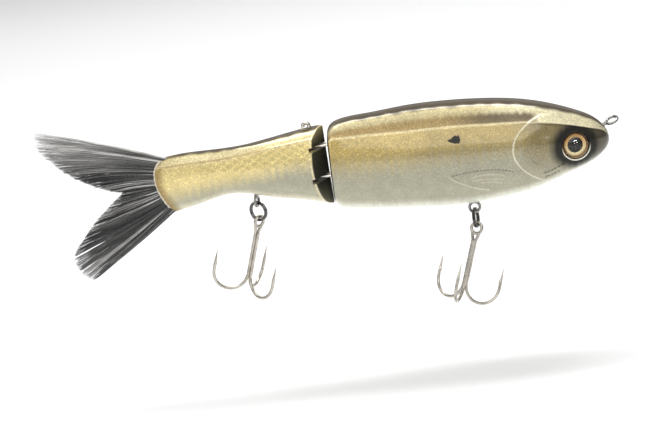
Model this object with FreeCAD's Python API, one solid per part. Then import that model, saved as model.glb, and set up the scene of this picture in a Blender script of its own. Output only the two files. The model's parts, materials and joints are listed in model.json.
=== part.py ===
"""Single-joint glide swimbait with a fibre tail, in millimetres.

The frame: +X towards the nose, +Z up, right side at -Y. The origin is the centre of the line tie's eye.
Two moulded sections, each a left and a right half shell, are joined by two hinge eyes on one vertical pin.
"""

import math
import os

import FreeCAD
import Part

V = FreeCAD.Vector
UP = V(0, 0, 1)

# ---------------------------------------------------------------- driving dimensions
WALL = 1.8                      # shell wall
RIB = 1.6                       # bulkhead inside a shell
FIT = 0.05                      # room around every wire, slug and eye set in the plastic

# Body stations: x, top, bottom, half width, height of the shoulder crease. They are joined smoothly.
FRONT_STATIONS = [
    (-123.9, 8.2, -20.2, 9.6, 6.6),
    (-123.3, 10.8, -21.9, 10.9, 8.0),
    (-121.2, 13.7, -23.9, 11.6, 8.8),
    (-117.0, 15.3, -25.0, 12.1, 9.1),
    (-105.0, 16.4, -26.6, 13.2, 9.2),
    (-88.0, 17.7, -28.1, 14.8, 9.1),
    (-70.0, 17.6, -29.2, 15.8, 9.0),
    (-52.0, 16.3, -28.3, 15.7, 7.9),
    (-38.0, 14.1, -26.3, 14.8, 6.7),
    (-26.0, 10.8, -22.7, 13.0, 4.4),
    (-16.0, 6.9, -19.0, 10.8, 1.6),
    (-9.0, 3.3, -16.0, 8.4, -0.8),
    (-5.0, -0.2, -13.1, 6.1, -2.6),
    (-2.9, -3.2, -10.8, 3.9, -4.6),
    (-2.0, -5.4, -8.8, 1.8, -6.1),
]
REAR_STATIONS = [
    (-122.5, 13.7, -22.6, 10.8, 9.9),
    (-132.0, 13.0, -20.0, 10.2, 9.5),
    (-141.0, 11.7, -17.9, 9.2, 8.5),
    (-150.0, 10.3, -16.1, 8.0, 7.4),
    (-160.0, 9.0, -13.3, 6.6, 5.7),
    (-170.0, 8.6, -12.3, 5.4, 4.5),
    (-180.0, 8.7, -14.4, 4.4, 4.1),
    (-189.0, 8.5, -16.4, 3.7, 3.9),
    (-197.0, 7.6, -17.9, 3.2, 3.4),
    (-204.0, 6.8, -18.6, 3.0, 3.0),
]
CREASE_WIDTH = 0.80             # the shoulder crease's half width, as a share of the widest
WIDEST_HEIGHT = 0.52            # the widest point, as a share of the height from the belly

# Joint between the sections
WEDGE_APEX, WEDGE_LEVEL = -124.7, -3.0    # the rear section's front ends in a wedge, this far forward here
WEDGE_DEG = 32.0                # each wedge face's angle from square
WEDGE_LEAN_DEG = 1.6            # the wedge's edge leans back towards its top
PIN_X = -131.0
PIN_R = 0.8
PIN_BOTTOM, PIN_TOP = -14.0, 14.0
PIN_HEAD_R = 1.35               # the loop that the pin's top end is bent into
HINGE_Z = (5.0, -9.0)           # heights of the two hinge eyes
HINGE_EYE_R = 2.1               # half the distance between a hinge eye's two legs
HINGE_EYE_END = -114.0          # how far into the front section the legs reach
SLOT_HEIGHT, SLOT_BEHIND_PIN = 2.2, 1.2

# Bulkheads: the x where each begins
FRONT_RIBS = (-104.6, -95.8, -87.0, -75.0, -58.8, -48.5, -38.6)
REAR_RIBS = (-171.0, -152.8, -142.3)

# Eyelets: every one is a wire figure of eight, one loop outside and one held in the plastic
WIRE_R = 0.65
NECK_R = 0.95
EYE_R = 2.3                     # outer loop of a hook hanger
INNER_LOOP_R = 1.9
TIE_LOOP_R = 2.5
TIE_SLOPE_DEG = 20.0            # the line tie leans up and forward
TIE_ROLL_DEG = -15.0            # and is set turned a little from level
TIE_REACH = 11.0                # from the line tie's eye to its inner loop
FRONT_HANGER, FRONT_HANGER_REACH = V(-63.2, 0, -31.8), 7.4
REAR_HANGER, REAR_HANGER_REACH = V(-158.0, 0, -17.0), 8.2
REAR_HANGER_YAW = 18.0

# Split rings: two flat coils of one wire
RING_R = 4.05                   # centreline
COIL_HALF_DEPTH = 0.55          # radial
COIL_HALF_WIDTH = 0.36          # along the ring's axis
COIL_PITCH = 0.76
COIL_CORNER = 0.2               # chamfer of the wire's section
COIL_TURNS, COIL_START = 1.97, 1.2      # turns, and the angle at which the outer end begins, in radians
COIL_JOG = 0.45                 # angle over which the wire steps from one coil to the other
LINK_GAP = 0.4                  # slack between one link and the next

# Treble hooks
HOOK_R = 0.72                   # wire
HOOK_EYE_R = 2.35
SHANK_SPREAD = 1.04 * HOOK_R    # from the middle to each of the three shanks, which are brazed together
HOOK_LENGTH = 36.4
BEND_R = 7.75
NECK_LENGTH = 3.2               # from the eye's lower edge to the brazed shanks
EYE_SHOULDER = (0.80, 0.60)     # where the neck's wires leave the eye: sideways and down, as shares of its radius
POINT_LEG = 9.3
POINT_TAPER = 6.6
TIP_R = 0.12                    # points and barbs end in a small flat
BARB_BELOW_TIP, BARB_LENGTH, BARB_R, BARB_SPLAY = 4.8, 2.1, 0.34, 0.42

# How the tackle hangs at rest
FRONT_YAW, FRONT_RING_YAW = 105.0, 105.0
REAR_YAW, REAR_RING_YAW = 50.0, 35.0
FRONT_LEAN, REAR_LEAN = 18.7, 17.5      # each hook leans back on its ring
FRONT_RING_SWING = -13.0        # the front ring swings towards the right side on its hanger

# Eyes
EYE_X, EYE_Z = -19.3, -6.5
EYE_TURN_DEG = 10.0             # each eye faces outward and a little forward
EYE_RADIUS = 6.1
IRIS_THICK = 0.8
LENS_HEIGHT = 2.6
EYE_SEAT = 9.3                  # distance of the eye's back from the middle, along its axis

# Ballast slugs: x from, x to, radius, height of the axis
FRONT_SLUGS = [(-57.2, -35.0, 7.5, -16.0), (-103.0, -87.0, 6.0, -18.0)]
REAR_SLUG = (-151.0, -142.5, 3.4, -8.6)

# Fibre tail
TAIL_SLOT_HALF = 1.3
TAIL_SLOT_X, TAIL_SLOT_Z = -194.0, (-15.4, 5.2)
TAIL_HALF_THICK = 0.9
TAIL_GAP = 0.8                  # between the section's end and the free fibres
FORK_Z, LOBE_GAP = -5.95, 0.1   # the level where the two lobes part, and the room between them
BODY_END = [(-193.0, 9.5), (-197.2, 6.9), (-200.2, 3.4), (-201.0, -1.6), (-199.9, -7.6), (-197.4, -13.0),
            (-193.2, -19.5)]
UPPER_LOBE = [(-190.0, 6.6), (-205.4, 12.0), (-219.0, 15.8), (-232.6, 20.9), (-243.5, 24.7), (-251.4, 26.6),
              (-250.4, 15.4), (-245.3, 11.6), (-237.2, 3.6), (-229.6, -0.5), (-220.9, -4.6), (-215.9, -5.8),
              (-190.0, -9.0)]
LOWER_LOBE = [(-190.0, -3.0), (-215.9, -6.1), (-222.8, -12.0), (-228.5, -16.8), (-233.8, -21.6),
              (-238.4, -27.0), (-242.0, -32.2), (-241.6, -37.4), (-239.2, -42.2), (-236.9, -44.4),
              (-231.2, -41.9), (-226.0, -38.4), (-214.5, -32.2), (-205.9, -25.8), (-190.0, -12.8)]


# ---------------------------------------------------------------- small helpers
def rod(start, end, radius):
    """A round bar between two points."""
    return Part.makeCylinder(radius, (end - start).Length, start, end - start)


def bent(start, heading_in, centre, axis, degrees, radius):
    """A round bar that starts at a point along heading_in and bends about an axis."""
    disc = Part.Face(Part.Wire(Part.makeCircle(radius, start, heading_in)))
    return disc.revolve(centre, axis, degrees)


def box(x, y, z):
    """A box from three (low, high) pairs."""
    return Part.makeBox(x[1] - x[0], y[1] - y[0], z[1] - z[0], V(x[0], y[0], z[0]))


def fused(*solids):
    """One solid from several that touch."""
    return solids[0].multiFuse(list(solids[1:])).removeSplitter()


def heading(yaw):
    """A level direction, turned from +X towards the right side."""
    a = math.radians(yaw)
    return V(math.cos(a), -math.sin(a), 0)


def turned(shape, centre, axis, degrees):
    copy = shape.copy()
    copy.rotate(centre, axis, degrees)
    return copy


def plate(points, half_thick):
    """A flat plate in the XZ plane with a smooth outline through the points, cornered at the first and last."""
    curve = Part.BSplineCurve()
    curve.interpolate([V(x, 0, z) for x, z in points])
    ends = Part.LineSegment(V(points[-1][0], 0, points[-1][1]), V(points[0][0], 0, points[0][1]))
    face = Part.Face(Part.Wire([curve.toShape(), ends.toShape()]))
    face.translate(V(0, -half_thick, 0))
    return face.extrude(V(0, 2 * half_thick, 0))


# ---------------------------------------------------------------- body sections
def section(x, top, bottom, half, crease_z):
    """One closed cross-section: a back curve and a flank curve that meet at the two shoulder creases."""
    crease_y = CREASE_WIDTH * half
    widest_z = bottom + WIDEST_HEIGHT * (top - bottom)
    rise, drop = top - crease_z, widest_z - bottom
    back = [(1, 0), (0.82, 0.27), (0.64, 0.60), (0.36, 0.90), (0, 1), (-0.36, 0.90), (-0.64, 0.60),
            (-0.82, 0.27), (-1, 0)]
    low = [(math.cos(math.radians(a)) ** 0.82, math.sin(math.radians(a)) ** 1.1) for a in (22, 45, 68)]
    side = [(crease_y, crease_z), (0.93 * half, widest_z + 0.52 * (crease_z - widest_z)), (half, widest_z)]
    side += [(half * c, widest_z - drop * s) for c, s in low]
    flank = side + [(0, bottom)] + [(-y, z) for y, z in reversed(side)]
    curves = []
    for points in ([(crease_y * y, crease_z + rise * z) for y, z in back], list(reversed(flank))):
        curve = Part.BSplineCurve()
        curve.interpolate([V(x, y, z) for y, z in points])
        curves.append(curve.toShape())
    return Part.Wire(curves)


def hull(stations, inset=0.0):
    """A solid through the stations, or one that lies inset inside it."""
    wires = [section(x, top - inset, bottom + inset, half - inset, crease - inset / 2)
             for x, top, bottom, half, crease in stations]
    return Part.makeLoft(wires, True, False)


def halves(body):
    """The right (-Y) and left (+Y) half shells of a section."""
    far = 400
    right = body.common(box((-far, far), (-far, 0), (-far, far)))
    left = body.common(box((-far, far), (0, far), (-far, far)))
    return right, left


def end_prism(shift):
    """Everything behind the rear section's rounded end, moved back by shift."""
    points = [(x - shift, z) for x, z in BODY_END]
    curve = Part.BSplineCurve()
    curve.interpolate([V(x, 0, z) for x, z in points])
    outside = [(points[-1][0], -80), (-300, -80), (-300, 60), (points[0][0], 60)]
    corners = [V(x, 0, z) for x, z in [points[-1], *outside, points[0]]]
    face = Part.Face(Part.Wire([curve.toShape(), *Part.makePolygon(corners).Edges]))
    face.translate(V(0, -60, 0))
    return face.extrude(V(0, 120, 0))


# ---------------------------------------------------------------- wire parts
def eyelet(outer, outer_axis, outer_r, inner, inner_axis, inner_r, room=0.0):
    """A figure of eight: an open loop, a neck and an inner loop. With room it is the tool that seats it."""
    along = (inner - outer).normalize()
    neck = rod(outer + along * (outer_r + room), inner - along * inner_r, NECK_R + room)
    loops = [Part.makeTorus(outer_r, WIRE_R + room, outer, outer_axis),
             Part.makeTorus(inner_r, WIRE_R + room, inner, inner_axis)]
    return fused(neck, *loops)


def line_tie(room=0.0):
    slope, roll = math.radians(TIE_SLOPE_DEG), TIE_ROLL_DEG
    along = V(-math.cos(slope), 0, -math.sin(slope))
    level = FreeCAD.Rotation(along, roll).multVec(V(-math.sin(slope), 0, math.cos(slope)))
    return eyelet(V(0, 0, 0), level, TIE_LOOP_R, along * TIE_REACH, V(0, 1, 0), INNER_LOOP_R, room)


def front_hanger(room=0.0):
    inner = FRONT_HANGER + UP * FRONT_HANGER_REACH
    return eyelet(FRONT_HANGER, V(0, 1, 0), EYE_R, inner, V(0, 1, 0), INNER_LOOP_R, room)


def rear_hanger(room=0.0):
    inner = REAR_HANGER + UP * REAR_HANGER_REACH
    return eyelet(REAR_HANGER, heading(REAR_HANGER_YAW), EYE_R, inner, V(0, 1, 0), INNER_LOOP_R, room)


def hinge_eye(z, room=0.0):
    """A long closed loop of wire: round the pin at one end, deep in the front section at the other."""
    ends = V(PIN_X, 0, z), V(HINGE_EYE_END, 0, z)
    offset, radius = V(0, HINGE_EYE_R, 0), WIRE_R + room
    legs = [rod(ends[0] + side, ends[1] + side, radius) for side in (offset, -offset)]
    back = bent(ends[0] + offset, V(-1, 0, 0), ends[0], UP, 180, radius)
    front = bent(ends[1] - offset, V(1, 0, 0), ends[1], UP, 180, radius)
    return fused(*legs, back, front)


def hinge_pin():
    """A straight wire whose top end is bent over into a small flat loop."""
    top = V(PIN_X, 0, PIN_TOP)
    shaft = rod(V(PIN_X, 0, PIN_BOTTOM), top, PIN_R)
    return fused(shaft, bent(top, UP, top - V(PIN_HEAD_R, 0, 0), V(0, -1, 0), 200, PIN_R))


def split_ring(centre, yaw):
    """Two flat coils of one wire with a jog between them, its plane upright and pointing along yaw."""
    turns, steps = 2 * math.pi * COIL_TURNS, 64
    points = []
    for i in range(steps + 1):
        a = turns * i / steps
        ramp = min(1.0, max(0.0, (a - turns / 2) / COIL_JOG + 0.5))
        y = (ramp * ramp * (3 - 2 * ramp) - 0.5) * COIL_PITCH
        points.append(V(RING_R * math.cos(a + COIL_START), y, RING_R * math.sin(a + COIL_START)))
    curve = Part.BSplineCurve()
    curve.interpolate(points)
    path = Part.Wire(curve.toShape())
    outward = V(math.cos(COIL_START), 0, math.sin(COIL_START))
    depth, width = COIL_HALF_DEPTH, COIL_HALF_WIDTH
    flat_depth, flat_width = depth - COIL_CORNER, width - COIL_CORNER
    corners = [(depth, -flat_width), (depth, flat_width), (flat_depth, width), (-flat_depth, width),
               (-depth, flat_width), (-depth, -flat_width), (-flat_depth, -width), (flat_depth, -width)]
    outline = [points[0] + outward * a + V(0, b, 0) for a, b in [*corners, corners[0]]]
    sweep = Part.BRepOffsetAPI.MakePipeShell(path)
    sweep.setBiNormalMode(V(0, 1, 0))
    sweep.add(Part.makePolygon(outline))
    sweep.build()
    sweep.makeSolid()
    ring = turned(sweep.shape(), V(0, 0, 0), UP, -yaw)
    ring.translate(centre)
    return ring


def hook_arm(toward, shank_top, bend_z):
    """One hook: shank, round bend, point with its barb. toward is the level direction that it opens in."""
    foot = toward * SHANK_SPREAD + V(0, 0, bend_z)
    shank = rod(foot, V(foot.x, foot.y, shank_top), HOOK_R)
    bend = bent(foot, UP, foot + toward * BEND_R, toward.cross(UP), 180, HOOK_R)
    leg = foot + toward * (2 * BEND_R)
    shoulder = leg + UP * (POINT_LEG - POINT_TAPER)
    straight = rod(leg, shoulder, HOOK_R)
    point = Part.makeCone(HOOK_R, TIP_R, POINT_TAPER, shoulder, UP)
    barb_root = leg + UP * (POINT_LEG - BARB_BELOW_TIP) - toward * (HOOK_R / 3)
    barb = Part.makeCone(BARB_R, TIP_R, BARB_LENGTH, barb_root, -UP - toward * BARB_SPLAY)
    return fused(shank, bend, straight, point, barb)


def upright_treble():
    """A pair of hooks bent from one wire with its eye, and a third brazed on. The eye's top bears at the origin."""
    eye = V(0, 0, COIL_HALF_DEPTH + HOOK_R + LINK_GAP - HOOK_EYE_R)
    bend_z = eye.z + HOOK_EYE_R + 2 * HOOK_R - HOOK_LENGTH + BEND_R
    shank_top = eye.z - HOOK_EYE_R - NECK_LENGTH
    single, *arms = [hook_arm(heading(a), shank_top, bend_z) for a in (0, 120, 240)]
    legs = []
    for a in (120, 240):
        foot = heading(a) * SHANK_SPREAD + V(0, 0, shank_top)
        side = math.copysign(HOOK_EYE_R, foot.y)
        shoulder = eye + V(0, side * EYE_SHOULDER[0], -HOOK_EYE_R * EYE_SHOULDER[1])
        legs += [rod(foot, shoulder, HOOK_R), Part.makeSphere(HOOK_R, foot)]
    pair = fused(Part.makeTorus(HOOK_EYE_R, HOOK_R, eye, V(1, 0, 0)), *legs, *arms)
    return pair, single.cut(pair)


def treble(pivot, yaw, lean):
    """The pair and the single hook, turned to yaw and hung on the ring at pivot, leaning back."""
    hooks = []
    for solid in upright_treble():
        hook = turned(solid, V(0, 0, 0), UP, -yaw)
        hook.translate(pivot)
        hooks.append(turned(hook, pivot, V(0, 1, 0), lean))
    return hooks


# ---------------------------------------------------------------- eyes, ballast and tail
def eye_frame(side):
    """The eye's back centre and its outward axis. side is -1 on the right and 1 on the left."""
    a = math.radians(EYE_TURN_DEG)
    axis = V(math.sin(a), side * math.cos(a), 0)
    return V(EYE_X, 0, EYE_Z) + axis * EYE_SEAT, axis


def eye_parts(side):
    back, axis = eye_frame(side)
    iris = Part.makeCylinder(EYE_RADIUS, IRIS_THICK, back, axis)
    seat = back + axis * IRIS_THICK
    ball = (EYE_RADIUS ** 2 + LENS_HEIGHT ** 2) / (2 * LENS_HEIGHT)
    dome = Part.makeSphere(ball, seat + axis * (LENS_HEIGHT - ball))
    lens = dome.common(Part.makeCylinder(EYE_RADIUS, LENS_HEIGHT + 1, seat, axis))
    return iris, lens


def eye_socket(side):
    back, axis = eye_frame(side)
    return Part.makeCylinder(EYE_RADIUS + FIT, 12, back, axis)


def slug(x_low, x_high, radius, z, room=0.0):
    return rod(V(x_low - room, 0, z), V(x_high + room, 0, z), radius + room)


# ---------------------------------------------------------------- assemblies
def front_shells():
    outer = hull(FRONT_STATIONS)
    hollow = hull([s for s in FRONT_STATIONS if -118 < s[0] < -22], WALL)
    kept = [box((x, x + RIB), (-40, 40), (-60, 60)) for x in FRONT_RIBS]
    kept += [box((-69.0, -57.2), (-4, 4), (-40, -19.5)), box((-121, -109.5), (-5, 5), (-14, 9))]
    hollow = hollow.cut(kept)
    tools = [hollow, line_tie(FIT), front_hanger(FIT), *(hinge_eye(z, FIT) for z in HINGE_Z)]
    tools += [slug(*s, room=FIT) for s in FRONT_SLUGS] + [eye_socket(-1), eye_socket(1)]
    body = outer.cut(tools)
    right, left = halves(body)
    return {"front_shell_right": right, "front_shell_left": left}


def wedge_cutters():
    """What is cut off the rear section's front to leave the upright wedge."""
    tools = []
    apex = V(WEDGE_APEX, 0, WEDGE_LEVEL)
    for side in (-1, 1):
        block = box((WEDGE_APEX, WEDGE_APEX + 40), (-60, 60), (-60, 60))
        block = turned(block, apex, UP, side * WEDGE_DEG)
        tools.append(turned(block, apex, V(0, 1, 0), -WEDGE_LEAN_DEG))
    return tools


def hinge_slot(z):
    """Room for one hinge eye to swing in: a round pocket at the pin, open to the front."""
    low = z - SLOT_HEIGHT / 2
    pocket = Part.makeCylinder(HINGE_EYE_R + WIRE_R + 0.4, SLOT_HEIGHT, V(PIN_X, 0, low))
    return fused(pocket, box((PIN_X - SLOT_BEHIND_PIN, -110), (-30, 30), (low, low + SLOT_HEIGHT)))


def rear_outer():
    return hull(REAR_STATIONS).cut([*wedge_cutters(), end_prism(0)])


def tail_slot():
    return box((-210, TAIL_SLOT_X), (-TAIL_SLOT_HALF, TAIL_SLOT_HALF), TAIL_SLOT_Z)


def rear_shells():
    hollow = hull([s for s in REAR_STATIONS if -188 < s[0] < -138], WALL)
    kept = [box((x, x + RIB), (-40, 40), (-60, 60)) for x in REAR_RIBS]
    kept.append(box((-163.2, -153.0), (-4, 4), (-40, -4.5)))
    hollow = hollow.cut(kept)
    pin_hole = rod(V(PIN_X, 0, PIN_BOTTOM - FIT), V(PIN_X, 0, PIN_TOP + 5), PIN_R + 0.02)
    head_room = box((PIN_X - 2 * PIN_HEAD_R - 1.0, PIN_X + 1.0), (-0.9, 0.9), (PIN_TOP - 2.2, PIN_TOP + 8))
    tools = [hollow, rear_hanger(FIT), pin_hole, head_room, slug(*REAR_SLUG, room=FIT), tail_slot()]
    tools += [hinge_slot(z) for z in HINGE_Z]
    right, left = halves(rear_outer().cut(tools))
    return {"rear_shell_right": right, "rear_shell_left": left}


def tail_parts():
    root = rear_outer().common(tail_slot())
    free = end_prism(TAIL_GAP)
    above = free.common(box((-300, 0), (-60, 60), (FORK_Z + LOBE_GAP / 2, 60)))
    below = free.common(box((-300, 0), (-60, 60), (-80, FORK_Z - LOBE_GAP / 2)))
    return {"tail_root_block": root,
            "tail_upper_lobe": plate(UPPER_LOBE, TAIL_HALF_THICK).common(above),
            "tail_lower_lobe": plate(LOWER_LOBE, TAIL_HALF_THICK).common(below)}


def tackle(name, hanger, ring_yaw, ring_swing, hook_yaw, lean):
    """The split ring and treble hook on one hanger. The ring swings about the hanger's wire."""
    bearing = hanger - UP * EYE_R
    centre = bearing + UP * (WIRE_R + LINK_GAP + COIL_HALF_DEPTH - RING_R)
    pivot = centre - UP * RING_R
    pieces = split_ring(centre, ring_yaw), *treble(pivot, hook_yaw, lean)
    ring, pair, single = [turned(solid, bearing, V(1, 0, 0), ring_swing) for solid in pieces]
    return {f"{name}_split_ring": ring, f"{name}_hook_pair": pair, f"{name}_hook_single": single}


def main():
    parts = {}
    parts.update(front_shells())
    parts.update(rear_shells())
    parts["line_tie"] = line_tie()
    parts["front_hook_hanger"] = front_hanger()
    parts["rear_hook_hanger"] = rear_hanger()
    parts["upper_hinge_eye"] = hinge_eye(HINGE_Z[0])
    parts["lower_hinge_eye"] = hinge_eye(HINGE_Z[1])
    parts["hinge_pin"] = hinge_pin()
    for name, side in (("right", -1), ("left", 1)):
        parts[f"iris_{name}"], parts[f"eye_lens_{name}"] = eye_parts(side)
    parts["chest_ballast"], parts["belly_ballast"] = (slug(*s) for s in FRONT_SLUGS)
    parts["rear_ballast"] = slug(*REAR_SLUG)
    parts.update(tail_parts())
    parts.update(tackle("front", FRONT_HANGER, FRONT_RING_YAW, FRONT_RING_SWING, FRONT_YAW, FRONT_LEAN))
    parts.update(tackle("rear", REAR_HANGER, REAR_RING_YAW, 0.0, REAR_YAW, REAR_LEAN))
    os.makedirs("parts", exist_ok=True)
    for name, shape in parts.items():
        solids = shape.Solids
        state = "valid" if shape.isValid() and solids else "BAD"
        print(f"{name:20s} {len(solids)} solid(s) {shape.Volume:9.1f} mm3 {state}")
        shape.exportStep(f"parts/{name}.step")


main()
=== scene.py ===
"""The looks of a single-joint glide swimbait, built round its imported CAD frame.

Shapes are worked out in millimetres in the row's own frame (+X to the nose, +Z up, right side at -Y)
and turned into metres when a mesh is made.
"""

import json
import math
import random

import bmesh
import bpy
import numpy as np
from mathutils import Matrix, Vector


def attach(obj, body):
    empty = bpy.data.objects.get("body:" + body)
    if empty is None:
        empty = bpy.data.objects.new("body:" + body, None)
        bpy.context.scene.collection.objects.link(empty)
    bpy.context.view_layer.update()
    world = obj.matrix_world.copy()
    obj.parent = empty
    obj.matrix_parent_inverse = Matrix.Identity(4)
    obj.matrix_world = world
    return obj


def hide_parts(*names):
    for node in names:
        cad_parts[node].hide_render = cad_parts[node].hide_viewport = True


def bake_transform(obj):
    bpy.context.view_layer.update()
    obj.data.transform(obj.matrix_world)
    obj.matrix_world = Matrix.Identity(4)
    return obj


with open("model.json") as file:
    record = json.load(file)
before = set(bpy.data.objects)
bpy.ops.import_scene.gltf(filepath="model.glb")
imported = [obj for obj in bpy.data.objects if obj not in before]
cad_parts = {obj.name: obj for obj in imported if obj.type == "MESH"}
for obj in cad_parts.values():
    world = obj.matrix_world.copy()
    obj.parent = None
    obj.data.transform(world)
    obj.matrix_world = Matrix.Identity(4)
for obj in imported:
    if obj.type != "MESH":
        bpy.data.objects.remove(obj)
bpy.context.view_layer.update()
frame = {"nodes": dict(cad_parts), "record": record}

MM = 0.001

# Body stations: x, top, bottom, half width, height of the shoulder crease
FRONT_STATIONS = [
    (-123.9, 8.2, -20.2, 9.6, 6.6),
    (-123.3, 10.8, -21.9, 10.9, 8.0),
    (-121.2, 13.7, -23.9, 11.6, 8.8),
    (-117.0, 15.3, -25.0, 12.1, 9.1),
    (-105.0, 16.4, -26.6, 13.2, 9.2),
    (-88.0, 17.7, -28.1, 14.8, 9.1),
    (-70.0, 17.6, -29.2, 15.8, 9.0),
    (-52.0, 16.3, -28.3, 15.7, 7.9),
    (-38.0, 14.1, -26.3, 14.8, 6.7),
    (-26.0, 10.8, -22.7, 13.0, 4.4),
    (-16.0, 6.9, -19.0, 10.8, 1.6),
    (-9.0, 3.3, -16.0, 8.4, -0.8),
    (-5.0, -0.2, -13.1, 6.1, -2.6),
    (-2.9, -3.2, -10.8, 3.9, -4.6),
    (-2.0, -5.4, -8.8, 1.8, -6.1),
    (-1.8, -6.9, -7.3, 0.12, -7.05),
]
REAR_STATIONS = [
    (-122.5, 13.7, -22.6, 10.8, 9.9),
    (-132.0, 13.0, -20.0, 10.2, 9.5),
    (-141.0, 11.7, -17.9, 9.2, 8.5),
    (-150.0, 10.3, -16.1, 8.0, 7.4),
    (-160.0, 9.0, -13.3, 6.6, 5.7),
    (-170.0, 8.6, -12.3, 5.4, 4.5),
    (-180.0, 8.7, -14.4, 4.4, 4.1),
    (-189.0, 8.5, -16.4, 3.7, 3.9),
    (-197.0, 7.6, -17.9, 3.2, 3.4),
    (-204.0, 6.8, -18.6, 3.0, 3.0),
]
BODY_END = [(-193.0, 9.5), (-197.2, 6.9), (-200.2, 3.4), (-201.0, -1.6), (-199.9, -7.6), (-197.4, -13.0),
            (-193.2, -19.5)]
CREASE_WIDTH, WIDEST_HEIGHT = 0.80, 0.52
END_ROUND, END_SHARE = 4.2, 0.56          # rounding of the tail end, and the share of its width left there
WEDGE_APEX, WEDGE_LEVEL, WEDGE_DEG, WEDGE_LEAN_DEG = -124.7, -3.0, 32.0, 1.6
PIN_X, HINGE_Z, SLOT_HEIGHT = -131.0, (5.0, -9.0), 2.2
RIGHT_AND_LEFT = ((-1, "right"), (1, "left"))
OFF_AXIS = (0.13, 0.97, 0.21)              # a direction that no wire or fibre follows


# ---------------------------------------------------------------- curves and meshes
def spline(points, count=None, at=None):
    """A natural cubic through the points, by chord length, at places from 0 to 1."""
    p = np.array(points, float)
    t = np.concatenate([[0], np.cumsum(np.linalg.norm(np.diff(p, axis=0), axis=1))])
    t /= t[-1]
    at = np.linspace(0, 1, count) if at is None else np.asarray(at, float)
    h, n = np.diff(t), len(p)
    system, right = np.eye(n), np.zeros_like(p)
    for i in range(1, n - 1):
        system[i, i - 1:i + 2] = h[i - 1], 2 * (h[i - 1] + h[i]), h[i]
        right[i] = 6 * ((p[i + 1] - p[i]) / h[i] - (p[i] - p[i - 1]) / h[i - 1])
    m = np.linalg.solve(system, right)
    k = np.clip(np.searchsorted(t, at, side="right") - 1, 0, n - 2)
    u, v, hk = ((at - t[k])[..., None], (t[k + 1] - at)[..., None], h[k][..., None])
    bend = (m[k] * v ** 3 + m[k + 1] * u ** 3) / (6 * hk)
    return bend + (p[k] / hk - m[k] * hk / 6) * v + (p[k + 1] / hk - m[k + 1] * hk / 6) * u


def smooth_step(low, high, x):
    t = np.clip((x - low) / (high - low), 0, 1)
    return t * t * (3 - 2 * t)


def new_object(name, points, faces, material, smooth=True):
    """A mesh object from points in millimetres."""
    mesh = bpy.data.meshes.new(name)
    mesh.from_pydata((np.asarray(points, float) * MM).tolist(), [], faces)
    mesh.update()
    if smooth:
        mesh.shade_smooth()
    obj = bpy.data.objects.new(name, mesh)
    bpy.context.scene.collection.objects.link(obj)
    obj.data.materials.append(material)
    return obj


def ring_faces(rings, size):
    """Quads between closed rings of points."""
    return [[i * size + j, i * size + (j + 1) % size, (i + 1) * size + (j + 1) % size, (i + 1) * size + j]
            for i in range(rings - 1) for j in range(size)]


def end_faces(count, size):
    """The two faces that close a tube of count points, whose rings have size points each."""
    return [list(range(size))[::-1], list(range(count - size, count))]


def tube(path, radius, sides):
    """A round bar's points and faces along a path, with capped ends."""
    path = np.asarray(path, float)
    radius = np.broadcast_to(np.asarray(radius, float), len(path))
    tangents = np.gradient(path, axis=0)
    tangents /= np.linalg.norm(tangents, axis=1)[:, None]
    side = np.cross(tangents[0], OFF_AXIS)
    points = []
    for p, t, r in zip(path, tangents, radius):
        side = side - t * side.dot(t)
        side /= np.linalg.norm(side)
        up = np.cross(t, side)
        for a in np.linspace(0, 2 * math.pi, sides, endpoint=False):
            points.append(p + r * (math.cos(a) * side + math.sin(a) * up))
    return points, ring_faces(len(path), sides) + end_faces(len(points), sides)


def joined(parts):
    """Several (points, faces) lists as one."""
    points, faces = [], []
    for p, f in parts:
        faces += [[i + len(points) for i in face] for face in f]
        points += list(p)
    return points, faces


def outward(obj):
    """Turns every face of a closed mesh outward."""
    shape = bmesh.new()
    shape.from_mesh(obj.data)
    bmesh.ops.recalc_face_normals(shape, faces=shape.faces)
    shape.to_mesh(obj.data)
    shape.free()


def cut(obj, *cutters):
    """Takes closed shapes out of a closed mesh, and deletes the cutting shapes."""
    for cutter in cutters:
        outward(cutter)
        step = obj.modifiers.new("cut", "BOOLEAN")
        step.operation, step.solver, step.object = "DIFFERENCE", "EXACT", cutter
    graph = bpy.context.evaluated_depsgraph_get()
    mesh = bpy.data.meshes.new_from_object(obj.evaluated_get(graph))
    obj.modifiers.clear()
    obj.data = mesh
    for cutter in cutters:
        bpy.data.objects.remove(cutter)


def lathe(profile, origin, axis, segments):
    """A turned shape with flat ends: profile is (radius, height along the axis)."""
    turn = Vector((0, 0, 1)).rotation_difference(Vector(axis).normalized()).to_matrix()
    points = []
    for r, h in profile:
        for a in np.linspace(0, 2 * math.pi, segments, endpoint=False):
            points.append(tuple(turn @ Vector((r * math.cos(a), r * math.sin(a), h)) + Vector(origin)))
    return points, ring_faces(len(profile), segments) + end_faces(len(points), segments)


# ---------------------------------------------------------------- materials
def material(name):
    """A new material with its nodes, links and Principled shader."""
    mat = bpy.data.materials.new(name)
    mat.use_nodes = True
    nodes, links = mat.node_tree.nodes, mat.node_tree.links
    return mat, nodes, links, nodes["Principled BSDF"]


def maths(nodes, links, operation, a, b=None, c=None):
    """One Math node. Each input is a number or a socket."""
    node = nodes.new("ShaderNodeMath")
    node.operation = operation
    for socket, value in zip(node.inputs, (a, b, c)):
        if value is None:
            continue
        if isinstance(value, (int, float)):
            socket.default_value = value
        else:
            links.new(value, socket)
    return node.outputs[0]


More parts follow.
